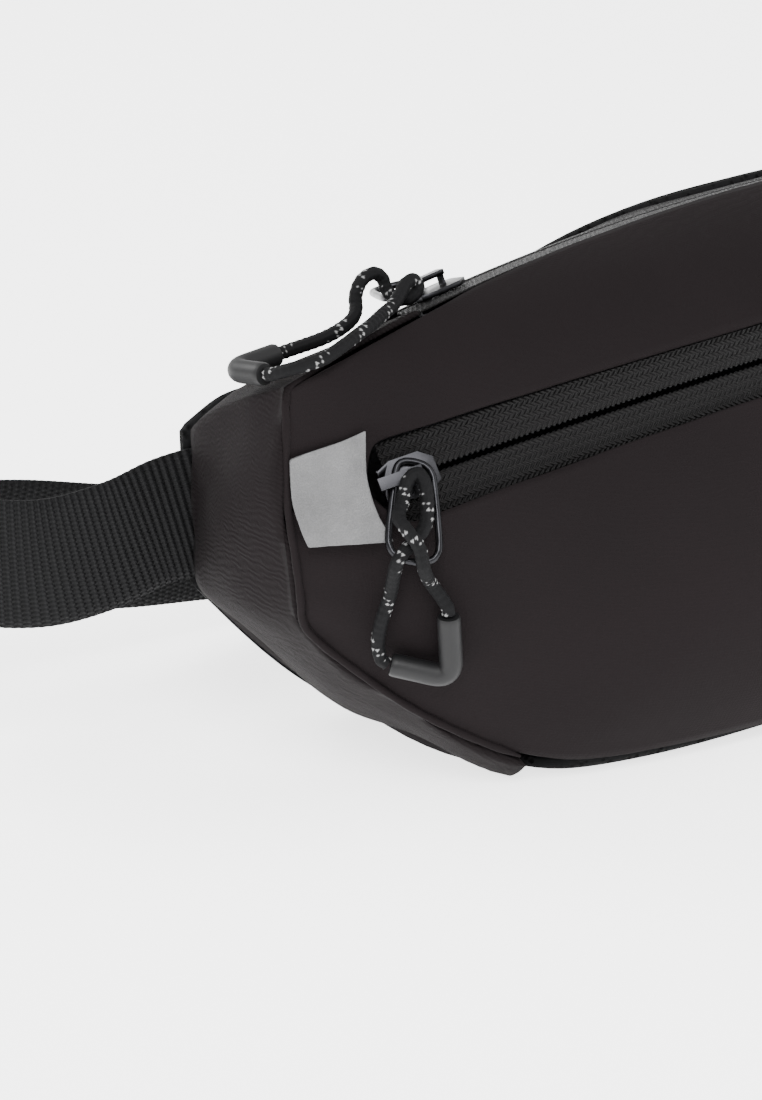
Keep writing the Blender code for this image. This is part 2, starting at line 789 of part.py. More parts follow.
# ---- belt ----
def belt_path(side):
    """The belt's centre line from the side panel's edge round to the back."""
    inside = [(-x, back_y(x) - WEBBING / 2 - GAP, BELT_Z) for x in (BACK_HALF - 0.013, BACK_HALF - 0.003)]
    grown = BACK_HALF - 0.131
    outside = [(-0.138, 0.0434, 0.0500), (-0.150, 0.0440, 0.0478), (-0.164, 0.0472, 0.0466),
               (-0.177, 0.0548, 0.0480), (-0.1865, 0.0645, 0.0500), (-0.1885, 0.0750, 0.0480),
               (-0.1820, 0.0825, 0.0430), (-0.1690, REAR_Y, 0.0400),
               (-0.1490, REAR_Y, 0.0355), (-0.1230, REAR_Y, 0.0278), (-0.0995, REAR_Y, 0.0235),
               (-0.0800, REAR_Y, 0.0200)]
    outside = [(x - grown, y, z) for x, y, z in outside]
    return [Vector((x * side, y, z)) for x, y, z in inside + outside]


def strap(name, path, width, thick, finish, parent, step=0.0075, offset=0.0):
    """Flat webbing along a path, standing on edge; offset shifts it to its outer side."""
    points = through(path, step)
    stations = []
    for k, point in enumerate(points):
        along = (points[min(k + 1, len(points) - 1)] - points[max(k - 1, 0)]).normalized()
        flat = Vector((along.x, along.y, 0)).normalized()
        out = Vector((flat.y, -flat.x, 0))
        up = out.cross(along).normalized()
        if up.z < 0:
            up.negate()
        centre = point + out * offset
        stations.append([
            centre + up * width / 2 + out * thick / 2,
            centre - up * width / 2 + out * thick / 2,
            centre - up * width / 2 - out * thick / 2,
            centre + up * width / 2 - out * thick / 2,
        ])
    return bar(name, stations, finish, parent)


def bar_fold(bar_x, side, gap):
    """Where the webbing ends at a buckle's bar, its fold reaching round the bar."""
    return [(bar_x + side * 0.020, REAR_Y, REAR_Z), (bar_x + side * gap, REAR_Y, REAR_Z)]


def belt(name, side, bar_x, parent):
    path = belt_path(side) + [Vector(p) for p in bar_fold(bar_x, -side, 0.0075)]
    return strap(name, path, WEBBING_WIDTH, WEBBING, BELT_CLOTH, parent)


def fold(name, bar_x, side, parent):
    """The webbing's end, sewn back round a buckle's bar: a flat loop seen on edge as a U."""
    inner = BAR_DIAMETER / 2 * 1.45 + GAP
    outer = inner + WEBBING
    outline = []
    for radius, order in ((outer, 1), (inner, -1)):
        arc = [(radius * math.cos(a), radius * math.sin(a))
               for a in [math.radians(90 - 20 * k) for k in range(10)]]
        legs = [(-0.0105, radius), *arc, (-0.0105, -radius)]
        outline += legs[::order]
    stations = []
    for z in (-WEBBING_WIDTH / 2, WEBBING_WIDTH / 2):
        stations.append([Vector((bar_x + side * x, REAR_Y + y, REAR_Z + z)) for x, y in outline])
    return bar(name, stations, BELT_CLOTH, parent)


def cut(target, boxes):
    """Cuts boxes out of an object; each box is limits along, through and up the buckle."""
    for x, y, z in boxes:
        place = Vector((0, REAR_Y, REAR_Z)) - (target.parent.location if target.parent.parent else Vector())
        low = Vector((x[0], y[0], z[0])) + place
        high = Vector((x[1], y[1], z[1])) + place
        combine(target, low, high, "DIFFERENCE")


def rounded_plate(name, low_x, high_x, half, depth, parent, finish=MOULDED):
    """A plate of the buckle with rounded corners, in the XZ plane."""
    corner = 0.0050
    outline = []
    for cx, cz, start in ((high_x - corner, half - corner, 0), (low_x + corner, half - corner, 90),
                          (low_x + corner, corner - half, 180), (high_x - corner, corner - half, 270)):
        for k in range(5):
            a = math.radians(start + 22.5 * k)
            outline.append((cx + corner * math.cos(a), REAR_Z + cz + corner * math.sin(a)))
    return extruded(name, outline, REAR_Y - depth / 2, REAR_Y + depth / 2, finish, parent)


def buckle_socket(parent):
    end = SOCKET_BAR + 0.0035
    made = rounded_plate("buckle_socket", MOUTH, end, BUCKLE_HALF, BUCKLE_DEPTH, parent)
    depth = BUCKLE_DEPTH / 2 - BUCKLE_WALL
    bar_half = BAR_DIAMETER / 2
    slot = WEBBING_WIDTH / 2 + 0.0010
    wide = BUCKLE_DEPTH
    cut(made, [
        ((MOUTH - 0.001, CAVITY_END), (-depth, depth), (-CAVITY_HALF, CAVITY_HALF)),
        (WINDOW, (-depth, depth), (-BUCKLE_HALF - 0.001, -CAVITY_HALF + 0.001)),
        (WINDOW, (-depth, depth), (CAVITY_HALF - 0.001, BUCKLE_HALF + 0.001)),
        ((SOCKET_END, SOCKET_BAR - bar_half), (-wide, wide), (-slot, slot)),
        ((SOCKET_BAR - 0.002, SOCKET_BAR + bar_half + 0.0005), (bar_half, wide), (-slot, slot)),
        ((SOCKET_BAR - 0.002, SOCKET_BAR + bar_half + 0.0005), (-wide, -bar_half), (-slot, slot)),
        ((SOCKET_BAR + bar_half, end + 0.001), (-wide, wide), (-slot, slot)),
    ])
    return made


def buckle_plug(parent):
    """Male half: a frame with the bar, a block at the mouth and a guide tongue."""
    frame = empty("plug_frame", parent, (PLUG_BAR, REAR_Y, REAR_Z))
    half = BUCKLE_HALF - 0.0015
    depth = BUCKLE_DEPTH / 2
    slot = WEBBING_WIDTH / 2 + 0.0010
    bar_half = BAR_DIAMETER / 2
    start = PLUG_BAR - 0.0035
    root = MOUTH - GAP
    shift = Matrix.Translation(-frame.location)
    steps = [start, start + 0.0012, -0.024, -0.0105, root]
    tall = [half - 0.0014, half, half, half - 0.0008, half - 0.0022]
    stations = []
    for x, z in zip(steps, tall):
        near, low = depth - 0.0012, z - 0.0012
        octagon = ((-depth, low), (-near, z), (near, z), (depth, low),
                   (depth, -low), (near, -z), (-near, -z), (-depth, -low))
        ring_line = [shift @ Vector((x, REAR_Y + y, REAR_Z + t)) for y, t in octagon]
        stations.append(ring_line)
    plug = bar("buckle_plug", stations, MOULDED, frame)
    wide = BUCKLE_DEPTH
    low = PRONG_PIVOT[1] - PRONG_SLOT
    high = PRONG_PIVOT[1] + PRONG_SLOT
    cut(plug, [
        ((PLUG_BAR + bar_half, PLUG_BAR + 0.0110), (-wide, wide), (-slot, slot)),
        ((PLUG_BAR - bar_half - 0.0005, PLUG_BAR + 0.002), (bar_half, wide), (-slot, slot)),
        ((PLUG_BAR - bar_half - 0.0005, PLUG_BAR + 0.002), (-wide, -bar_half), (-slot, slot)),
        ((start - 0.001, PLUG_BAR - bar_half), (-wide, wide), (-slot, slot)),
        ((PRONG_PIVOT[0] - 0.0024, root + 0.001), (-0.0033, 0.0033), (low, high)),
        ((PRONG_PIVOT[0] - 0.0024, root + 0.001), (-0.0033, 0.0033), (-high, -low)),
    ])
    tongue_low = shift @ Vector((root - 0.002, REAR_Y - 0.0014, REAR_Z - 0.0022))
    tongue_high = shift @ Vector((0.0150, REAR_Y + 0.0014, REAR_Z + 0.0022))
    unite(plug, tongue_low, tongue_high)
    return frame


def prong(name, side, frame):
    """Springy arm of the plug, its head filling the socket's window."""
    x, z = PRONG_PIVOT
    pivot = empty(name + "_frame", frame, (x - PLUG_BAR, 0, z * side))
    outer = [(-0.0105, 0.0112), (-0.0040, 0.0122), (0.0030, 0.0124), (0.0075, 0.0138), (0.0120, 0.0149),
             (0.0150, 0.0146), (0.0178, 0.0126), (0.0190, 0.0102)]
    inner = [(0.0170, 0.0084), (0.0100, 0.0092), (0.0020, 0.0094), (-0.0105, 0.0088)]
    spread = CAVITY_HALF - 0.0131
    outline = [(px - x, (pz + spread - z) * side) for px, pz in outer + inner]
    return extruded(name, outline, -PRONG_DEPTH / 2, PRONG_DEPTH / 2, MOULDED, pivot)


def keeper(name, side, parent):
    """Elastic band round the strap, which holds its free end."""
    frame = empty(name + "_frame", parent)
    path = through(belt_path(side), 0.001)
    behind = [k for k in range(len(path)) if path[k].y > 0.07]
    near = min(behind, key=lambda k: abs(abs(path[k].x) - KEEPER_X))
    along = (path[near + 1] - path[near - 1]).normalized()
    if along.x < 0:
        along.negate()
    up = along.cross(Vector((0, 1, 0))).normalized()
    turn = Matrix((along, up.cross(along), up)).transposed().to_4x4()
    frame.matrix_local = Matrix.Translation(path[near]) @ turn
    inner = (WEBBING / 2 + GAP, WEBBING_WIDTH / 2 + GAP)
    made = bmesh.new()
    rings = []
    for x in (-KEEPER_WIDTH / 2, KEEPER_WIDTH / 2):
        for grow in (KEEPER_WALL, 0.0):
            y, z = inner[0] + grow, inner[1] + grow
            signs = ((-1, -1), (1, -1), (1, 1), (-1, 1))
            rings.append([made.verts.new((x, sy * y, sz * z)) for sy, sz in signs])
    for one, two in ((0, 2), (1, 3), (0, 1), (2, 3)):
        for k in range(4):
            n = (k + 1) % 4
            made.faces.new((rings[one][k], rings[one][n], rings[two][n], rings[two][k]))
    return link(name, close(made, name), ELASTIC, frame)


# ---- the pulls' cords, as route points of the bag in millimetres ----
FRONT_GRIP = [(-122.2, -15.2, 33.2), (-112.4, -22.3, 29.8), (-113.4, -23.3, 43.8)]
TOP_GRIP = [(-124.2, 18.0, 90.4), (-135.4, 17.6, 89.8), (-134.2, 7.6, 91.4)]
FRONT_ROUTE = [
    (-122.8, -14.8, 33.4), (-123.9, -14.1, 34.7), (-124.4, -14.2, 38.5), (-123.9, -15.2, 43.5),
    (-122.9, -16.6, 48.5), (-124.2, -20.9, 56.5), (-122.8, -21.6, 59.3), (-119.6, -21.6, 61.4),
    (-117.1, -21.5, 63.9), (-115.8, -20.5, 67.8), (-115.2, -19, 71.4), (-115.8, -17.5, 73.2),
    (-118, -17.2, 72), (-119.8, -18, 68.8), (-122.6, -20.2, 66.5), (-122.5, -23.2, 64.2),
    (-121.1, -24.8, 60.9), (-120.2, -25, 56), (-116.4, -21.4, 51.4), (-114.6, -22, 48.4),
    (-113.6, -23.2, 45.8), (-113.43, -23.33, 44.25),
]
TOP_ROUTE = [
    (-123.7, 18.02, 90.43), (-121, 17.2, 91), (-116.5, 13.6, 93), (-112.4, 12.6, 94.4),
    (-108.4, 13.6, 95.6), (-106.3, 15.4, 96.8), (-105.4, 16.6, 99), (-103.6, 17, 101.6),
    (-100.8, 17, 102.6), (-98.6, 16.8, 101.2), (-98.3, 15.8, 98.8), (-97.6, 13.6, 97.4),
    (-95.6, 11.6, 97.6), (-93.8, 11.2, 99.4), (-94.8, 11.2, 101.4), (-97.2, 10.8, 101),
    (-99.4, 9.8, 99.4), (-102.2, 8.4, 98.2), (-106, 6.6, 97.7), (-110.4, 4, 97.4),
    (-115.6, 1.9, 96.8), (-120.6, 0.2, 96), (-125.4, -0.6, 94.9), (-129.4, -0.2, 94.4),
    (-132, 1.6, 93.6), (-133.7, 4.8, 92.2), (-134.15, 7.1, 91.48),
]


def build():
    clear_scene()
    bag = empty("bag_frame", None, (0, -ORIGIN_Y, 0))
    upper_panel(bag)
    pocket_panel(bag)
    side_panel("side_panel_left", 1, bag)
    side_panel("side_panel_right", -1, bag)
    back_panel(bag)
    foam_pad(bag)
    divider(bag)
    for word, sign in (("upper", 1), ("lower", -1)):
        front_tape("front_zip_tape_" + word, sign, bag)
        front_coil("front_zip_coil_" + word, sign, bag)
    for word, sign in (("front", -1), ("rear", 1)):
        top_tape("top_zip_tape_" + word, sign, bag)
        top_coil("top_zip_coil_" + word, sign, bag)
    tab("reflective_tab_left", -1, bag)
    tab("reflective_tab_right", 1, bag)
    belt("belt_webbing_left", 1, PLUG_BAR, bag)
    belt("belt_webbing_right", -1, SOCKET_BAR, bag)
    fold("webbing_fold_left", PLUG_BAR, 1, bag)
    fold("webbing_fold_right", SOCKET_BAR, -1, bag)
    buckle_socket(bag)
    plug = buckle_plug(bag)
    prong("plug_prong_upper", 1, plug)
    prong("plug_prong_lower", -1, plug)
    keeper("webbing_keeper", -1, bag)
    lean = turned("X", FRONT_PULL_LEAN) @ turned("Z", FRONT_PULL_TURN)
    front = zip_pull("front", bag, zip_point, FRONT_REST_X, -TAPE_DEPTH, FRONT_CROSSING, lean)
    pull_cord("front", front, (0.005, RING_OVER - RING_LENGTH, 0), FRONT_GRIP, FRONT_ROUTE)
    rearward = turned("X", TOP_PULL_LEAN) @ turned("Z", 180 + TOP_PULL_TURN) @ turned("Y", TOP_PULL_LIFT)
    top = zip_pull("top", bag, top_point, TOP_REST_X, -TAPE_DEPTH / 2, TOP_CROSSING, rearward)
    pull_cord("top", top, (0.0078, 0.0, 0), TOP_GRIP, TOP_ROUTE)


build()
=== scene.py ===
"""Two-zip belt bag: the looks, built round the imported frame.

Metres in the frame's own axes. Lengths along a zip are arcs about its slider's axis.
"""

import json
import math

import bmesh
import bpy
import numpy as np
from mathutils import Matrix, Vector, noise


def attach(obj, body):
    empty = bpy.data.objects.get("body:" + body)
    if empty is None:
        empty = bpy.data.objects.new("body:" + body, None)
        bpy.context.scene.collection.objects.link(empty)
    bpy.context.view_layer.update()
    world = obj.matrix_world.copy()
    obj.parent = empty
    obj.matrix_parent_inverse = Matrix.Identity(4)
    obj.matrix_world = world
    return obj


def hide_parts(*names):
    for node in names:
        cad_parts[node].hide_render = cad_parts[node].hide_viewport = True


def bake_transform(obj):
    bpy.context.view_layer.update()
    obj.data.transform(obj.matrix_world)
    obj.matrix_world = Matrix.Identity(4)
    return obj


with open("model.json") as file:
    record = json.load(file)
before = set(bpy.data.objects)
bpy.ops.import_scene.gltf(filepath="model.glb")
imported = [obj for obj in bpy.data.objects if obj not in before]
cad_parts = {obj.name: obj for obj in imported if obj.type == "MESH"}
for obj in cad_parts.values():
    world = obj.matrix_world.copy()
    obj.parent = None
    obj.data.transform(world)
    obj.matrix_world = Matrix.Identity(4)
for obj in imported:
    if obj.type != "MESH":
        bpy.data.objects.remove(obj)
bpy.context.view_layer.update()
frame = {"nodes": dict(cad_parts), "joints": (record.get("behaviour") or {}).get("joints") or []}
JOINTS = {j["name"]: j for j in frame["joints"]}
SCENE = bpy.context.scene
BAG_Y = -0.0227          # the bag's reference plane in the frame


# ---- camera: a long lens from the left and above, set by the bag's top at its middle ----
VIEW_AZIMUTH = math.radians(-35)
VIEW_ELEVATION = math.radians(22)
VIEW_ROLL = math.radians(2)
DISTANCE = 1.0
VIEW_HIGH = 0.2343       # height that the picture takes in, at that distance
OFF_CENTRE = 0.081153    # the bag's top middle is this far right of and above the picture's middle
TOP_MIDDLE = (0, 0.015, 0.104)
SENSOR = 36.0


def make_camera():
    a, e, k = VIEW_AZIMUTH, VIEW_ELEVATION, VIEW_ROLL
    back = Vector((math.sin(a) * math.cos(e), -math.cos(a) * math.cos(e), math.sin(e)))
    level = Vector((math.cos(a), math.sin(a), 0))
    rise = back.cross(level)
    right = level * math.cos(k) - rise * math.sin(k)
    up = level * math.sin(k) + rise * math.cos(k)
    x, y, z = TOP_MIDDLE
    target = Vector((x, y + BAG_Y, z))
    data = bpy.data.cameras.new("camera")
    data.sensor_width = SENSOR
    data.lens = SENSOR * DISTANCE / VIEW_HIGH
    data.clip_start = 0.01
    made = bpy.data.objects.new("camera", data)
    SCENE.collection.objects.link(made)
    place = target + back * DISTANCE - (right + up) * OFF_CENTRE
    made.matrix_world = Matrix((right, up, back)).transposed().to_4x4()
    made.matrix_world.translation = place
    SCENE.camera = made


# ---- node helpers ----
class Shade:
    """Builds one material's nodes."""

    def __init__(self, name, colour, roughness, metallic=0.0, **extra):
        self.made = bpy.data.materials.new(name)
        self.made.use_nodes = True
        self.tree = self.made.node_tree
        self.shader = self.tree.nodes["Principled BSDF"]
        self.set("Base Color", (*colour, 1.0))
        self.set("Roughness", roughness)
        self.set("Metallic", metallic)
        for key, value in extra.items():
            self.set(key.replace("_", " "), value)

    def set(self, name, value):
        self.shader.inputs[name].default_value = value

    def node(self, kind, **settings):
        made = self.tree.nodes.new(kind)
        for key, value in settings.items():
            setattr(made, key, value)
        return made

    def link(self, out, into):
        self.tree.links.new(out, into)

    def math(self, operation, first, second=None, third=None):
        made = self.node("ShaderNodeMath", operation=operation)
        for k, value in enumerate((first, second, third)):
            if value is None:
                continue
            if isinstance(value, (int, float)):
                made.inputs[k].default_value = value
            else:
                self.link(value, made.inputs[k])
        return made.outputs[0]

    def place(self, source="Object"):
        return self.node("ShaderNodeTexCoord").outputs[source]

    def axes(self, vector):
        parts = self.node("ShaderNodeSeparateXYZ")
        self.link(vector, parts.inputs[0])
        return parts.outputs

    def noise(self, vector, scale, detail=2.0, rough=0.5):
        made = self.node("ShaderNodeTexNoise")
        made.inputs["Scale"].default_value = scale
        made.inputs["Detail"].default_value = detail
        made.inputs["Roughness"].default_value = rough
        self.link(vector, made.inputs["Vector"])
        return made.outputs["Fac"]

    def voronoi(self, vector, scale, feature="F1"):
        made = self.node("ShaderNodeTexVoronoi", feature=feature)
        made.inputs["Scale"].default_value = scale
        self.link(vector, made.inputs["Vector"])
        return made.outputs["Distance"]

    def wave(self, value, pitch):
        """A sine from 0 to 1 of a length, one period each pitch."""
        turns = self.math("MULTIPLY", value, 2 * math.pi / pitch)
        return self.math("MULTIPLY_ADD", self.math("SINE", turns), 0.5, 0.5)

    def ramp(self, factor, stops):
        made = self.node("ShaderNodeValToRGB")
        ramp = made.color_ramp
        while len(ramp.elements) < len(stops):
            ramp.elements.new(0.5)
        for element, (at, value) in zip(ramp.elements, stops):
            element.position = at
            element.color = (*value, 1.0) if isinstance(value, tuple) else (value, value, value, 1.0)
        self.link(factor, made.inputs[0])
        return made.outputs[0]

    def bump(self, height, distance, strength=1.0, over=None):
        made = self.node("ShaderNodeBump")
        made.inputs["Distance"].default_value = distance
        made.inputs["Strength"].default_value = strength
        self.link(height, made.inputs["Height"])
        if over is not None:
            self.link(over, made.inputs["Normal"])
        return made.outputs[0]

    def finish(self, colour=None, roughness=None, normal=None):
        for name, out in (("Base Color", colour), ("Roughness", roughness), ("Normal", normal)):
            if out is not None:
                self.link(out, self.shader.inputs[name])
        return self.made


def tone(colour, share):
    return tuple(c * share for c in colour)


def woven(name, colour, pitch, depth, twill=False, sheen=0.01, spread=0.14):
    """Cloth in the frame's coordinates, its threads crossing on faces that look any way."""
    s = Shade(name, colour, 0.8, Sheen_Weight=sheen, Sheen_Roughness=0.35)
    s.set("Specular IOR Level", 0.05)
    at = s.place()
    x, y, z = s.axes(at)
    wander = s.math("MULTIPLY", s.noise(at, 190.0, 2.0), 0.0016)
    u = s.math("ADD", wander, s.math("MULTIPLY_ADD", y, 0.55, s.math("MULTIPLY", x, 0.84)))
    v = s.math("ADD", wander, s.math("MULTIPLY_ADD", y, -0.45, s.math("MULTIPLY", z, 0.9)))
    if twill:
        threads = s.wave(s.math("ADD", u, v), pitch)
        cross = s.wave(s.math("SUBTRACT", u, v), pitch * 0.5)
        weave = s.math("MULTIPLY_ADD", cross, 0.3, threads)
    else:
        weave = s.math("ADD", s.math("MULTIPLY", s.wave(u, pitch), s.wave(v, pitch * 0.5)),
                       s.math("MULTIPLY", s.wave(v, pitch), s.wave(u, pitch * 0.5)))
    fibre = s.noise(at, 2600.0, 2.0)
    cloud = s.noise(at, 34.0, 3.0)
    mixed = s.math("ADD", s.math("MULTIPLY", cloud, 0.6), s.math("MULTIPLY", fibre, 0.4))
    shade = s.ramp(mixed, [(0.30, tone(colour, 1 - spread)), (0.70, tone(colour, 1 + spread))])
    rough = s.ramp(mixed, [(0.3, 0.72), (0.7, 0.88)])
    soft = s.bump(cloud, 0.0006, 0.6)
    fine = s.bump(fibre, 0.00006, 0.6, soft)
    return s.finish(shade, rough, s.bump(weave, depth, 0.9, fine))


def mesh_cloth(name, colour):
    """Spacer mesh: a field of small round holes, with painted shade inside each hole."""
    s = Shade(name, colour, 0.85, Sheen_Weight=0.01, Sheen_Roughness=0.4)
    s.set("Specular IOR Level", 0.08)
    at = s.place()
    cell = s.voronoi(at, 560.0)
    hole = s.ramp(cell, [(0.12, 0.0), (0.42, 1.0)])
    # painted shade: the colour darkens towards each hole's middle and is lighter on the strands between
    # the holes
    shade = s.ramp(cell, [(0.16, tone(colour, 0.35)), (0.45, tone(colour, 1.5))])
    rough = s.ramp(s.noise(at, 900.0), [(0.3, 0.75), (0.7, 0.95)])
    return s.finish(shade, rough, s.bump(hole, 0.0005, 0.9, s.bump(s.noise(at, 60.0), 0.0008, 0.5)))


def knitted(name, colour):
    """Zip tape: short chevrons along the tape, with glints from the yarn where its roughness varies; the
    colour is lighter on the raised knit and darker between, a painted highlight and painted shade.
    """
    s = Shade(name, colour, 0.6)
    s.set("Specular IOR Level", 0.14)
    at = s.place("UV")
    u, v, _ = s.axes(at)
    fold = s.math("PINGPONG", v, 0.0009)
    slant = s.math("MULTIPLY_ADD", fold, 1.1, u)
    knit = s.wave(slant, 0.00122)
    row = s.wave(v, 0.0018)
    height = s.math("MULTIPLY_ADD", row, 0.5, knit)
    fibre = s.noise(s.place(), 3000.0, 2.0)
    # painted highlight and painted shade: colour follows the knit's height, lighter on its ridges and
    # darker in its grooves, over random fibre tone
    shade = s.ramp(s.math("MULTIPLY_ADD", fibre, 0.5, s.math("MULTIPLY", height, 0.33)),
                   [(0.25, tone(colour, 0.45)), (0.85, tone(colour, 2.1))])
    rough = s.ramp(fibre, [(0.35, 0.40), (0.65, 0.75)])
    return s.finish(shade, rough, s.bump(height, 0.00035, 0.9))


def reflective(name):
    """Glass-bead cloth: silver grey, even, with a fine sparkle and faint creases."""
    s = Shade(name, (0.09, 0.09, 0.09), 0.5, metallic=0.1)
    at = s.place()
    bead = s.voronoi(at, 3400.0)
    cloud = s.noise(at, 70.0, 4.0, 0.6)
    crease = s.noise(at, 260.0, 3.0, 0.7)
    shade = s.ramp(s.math("MULTIPLY_ADD", bead, 0.25, cloud),
                   [(0.35, (0.060, 0.060, 0.061)), (0.8, (0.125, 0.125, 0.127))])
    rough = s.ramp(crease, [(0.35, 0.42), (0.7, 0.6)])
    return s.finish(shade, rough, s.bump(bead, 0.00008, 0.8, s.bump(crease, 0.00022, 0.6)))


def webbing_cloth(name, colour):
    s = Shade(name, colour, 0.7, Sheen_Weight=0.01, Sheen_Roughness=0.4)
    s.set("Specular IOR Level", 0.1)
    u, v, _ = s.axes(s.place("UV"))
    ribs = s.math("MULTIPLY_ADD", v, 0.10, u)
    row = s.math("FLOOR", s.math("DIVIDE", ribs, RIB))
    yarn = s.wave(s.math("MULTIPLY_ADD", row, 0.0005, v), 0.0010)
    rib = s.wave(ribs, RIB)
    height = s.math("MULTIPLY_ADD", yarn, 0.55, rib)
    fibre = s.noise(s.place(), 2400.0, 2.0)
    # painted highlight and painted shade: colour follows the ribs' height, lighter on the crests and
    # darker in the grooves, over random fibre tone
    shade = s.ramp(s.math("MULTIPLY_ADD", fibre, 0.5, s.math("MULTIPLY", height, 0.33)),
                   [(0.2, tone(colour, 0.4)), (0.85, tone(colour, 1.9))])
    rough = s.ramp(fibre, [(0.3, 0.5), (0.7, 0.8)])
    return s.finish(shade, rough, s.bump(height, 0.0004, 0.9, s.bump(fibre, 0.00006, 0.6)))


def cord_yarn(name):
    """Braided yarn, with light tracer flecks where the fleck attribute is set."""
    s = Shade(name, (0.006, 0.006, 0.0066), 0.7)
    s.set("Specular IOR Level", 0.08)
    fleck = s.node("ShaderNodeAttribute", attribute_name="fleck").outputs["Fac"]
    fibre = s.noise(s.place(), 5200.0, 2.0)
    level = s.math("MULTIPLY_ADD", fibre, 0.2, s.math("MULTIPLY", fleck, 0.8))
    shade = s.ramp(level, [(0.05, (0.0030, 0.0030, 0.0033)), (0.22, (0.0090, 0.0090, 0.0096)),
                           (0.80, (0.22, 0.22, 0.22))])
    rough = s.ramp(fibre, [(0.3, 0.55), (0.7, 0.85)])
    return s.finish(shade, rough, s.bump(fibre, 0.00008, 0.8))


def moulded(name, colour, low, high, grain=0.00004):
    s = Shade(name, colour, (low + high) / 2)
    s.set("Specular IOR Level", 0.22)
    at = s.place()
    fine = s.noise(at, 1500.0, 3.0)
    cloud = s.noise(at, 120.0, 3.0)
    shade = s.ramp(cloud, [(0.3, tone(colour, 0.85)), (0.7, tone(colour, 1.15))])
    rough = s.ramp(cloud, [(0.3, low), (0.7, high)])
    return s.finish(shade, rough, s.bump(fine, grain, 0.8))


def plated(name, colour, low, high):
    s = Shade(name, colour, low, metallic=1.0)
    at = s.place()
    cloud = s.noise(at, 420.0, 4.0, 0.6)
    shade = s.ramp(cloud, [(0.3, tone(colour, 0.8)), (0.75, tone(colour, 1.25))])
    rough = s.ramp(cloud, [(0.3, low), (0.7, high)])
    return s.finish(shade, rough, s.bump(s.noise(at, 2400.0), 0.00001, 0.6))


# ---- mesh helpers ----
def add(name, mesh, finish, slot, body=None, *stands_for):
    mesh.materials.clear()
    mesh.materials.append(finish)
    made = bpy.data.objects.new(name, mesh)
    SCENE.collection.objects.link(made)
    if body:
        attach(made, body)
    if stands_for:
        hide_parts(*stands_for)
    return made


def quads(node):
    """A frame node's mesh as a bmesh of quads, its split vertices merged."""
    made = bmesh.new()
    made.from_mesh(frame["nodes"][node].data)
    bmesh.ops.remove_doubles(made, verts=made.verts, dist=2e-6)
    bmesh.ops.join_triangles(made, faces=made.faces, angle_face_threshold=0.7, angle_shape_threshold=3.0,
                             cmp_seam=False, cmp_sharp=False, cmp_uvs=False, cmp_vcols=False,
                             cmp_materials=False)
    return made


def refined(node, levels, crease=0.8, sharp=48):
    """A smooth, finely divided copy of a frame node's mesh."""
    made = quads(node)
    layer = made.edges.layers.float.new("crease_edge")
    for edge in made.edges:
        if len(edge.link_faces) == 2 and edge.calc_face_angle(0) > math.radians(sharp):
            edge[layer] = crease
    mesh = bpy.data.meshes.new(node + "_look")
    made.to_mesh(mesh)
    made.free()
    holder = bpy.data.objects.new("holder", mesh)
    SCENE.collection.objects.link(holder)
    divide = holder.modifiers.new("divide", "SUBSURF")
    divide.levels = levels
    divide.render_levels = levels
    graph = bpy.context.evaluated_depsgraph_get()
    done = bpy.data.meshes.new_from_object(holder.evaluated_get(graph))
    bpy.data.objects.remove(holder)
    smooth(done, 55)
    return done


def smooth(mesh, degrees):
    mesh.shade_smooth()
    mesh.set_sharp_from_angle(angle=math.radians(degrees))


def points_of(mesh):
    found = np.zeros(len(mesh.vertices) * 3)
    mesh.vertices.foreach_get("co", found)
    return found.reshape(-1, 3)


def sculpt(mesh, outward, move):
    """Moves each point along its sheet's outward normal by move(point)."""
    co = points_of(mesh)
    normals = np.zeros(len(mesh.vertices) * 3)
    mesh.vertices.foreach_get("normal", normals)
    normals = normals.reshape(-1, 3)
    facing = normals @ np.array(outward)
    normals[facing < 0] *= -1
    amount = np.array([move(Vector(p)) for p in co])
    hold = np.clip(np.abs(facing) * 3, 0, 1)
    co += normals * (amount * hold)[:, None]
    co[:, 2] = np.maximum(co[:, 2], 0.0001)
    mesh.vertices.foreach_set("co", co.ravel())
    mesh.update()


def map_uv(mesh, place):
    """A UV map in metres: place gives (u, v) for a vertex."""
    where = [place(v.co) for v in mesh.vertices]
    layer = mesh.uv_layers.new(name="lay") if not mesh.uv_layers else mesh.uv_layers[0]
    for loop in mesh.loops:
        layer.data[loop.index].uv = where[loop.vertex_index]


def grain(point, scale, seed=0.0):
    return noise.noise(Vector((point.x * scale + seed, point.y * scale, point.z * scale)))


def through(points, step):
    """Points a step apart along a smooth curve through the given ones."""
    points = [Vector(p) for p in points]
    ends = [points[0] * 2 - points[1], *points, points[-1] * 2 - points[-2]]
    dense = []
    for a, b, c, d in zip(ends, ends[1:], ends[2:], ends[3:]):
        for k in range(16):
            t = k / 16
            dense.append(
                0.5 * (2 * b + (c - a) * t + (2 * a - 5 * b + 4 * c - d) * t * t
                       + (3 * b - a - 3 * c + d) * t ** 3)
            )
    dense.append(points[-1])
    lengths = [0.0]
    for a, b in zip(dense, dense[1:]):
        lengths.append(lengths[-1] + (b - a).length)
    count = max(2, round(lengths[-1] / step))
    found = []
    k = 0
    for n in range(count + 1):
        target = lengths[-1] * n / count
        while k < len(dense) - 2 and lengths[k + 1] < target:
            k += 1
        share = (target - lengths[k]) / max(lengths[k + 1] - lengths[k], 1e-9)
        found.append(dense[k].lerp(dense[k + 1], min(max(share, 0.0), 1.0)))
    return found, lengths[-1]


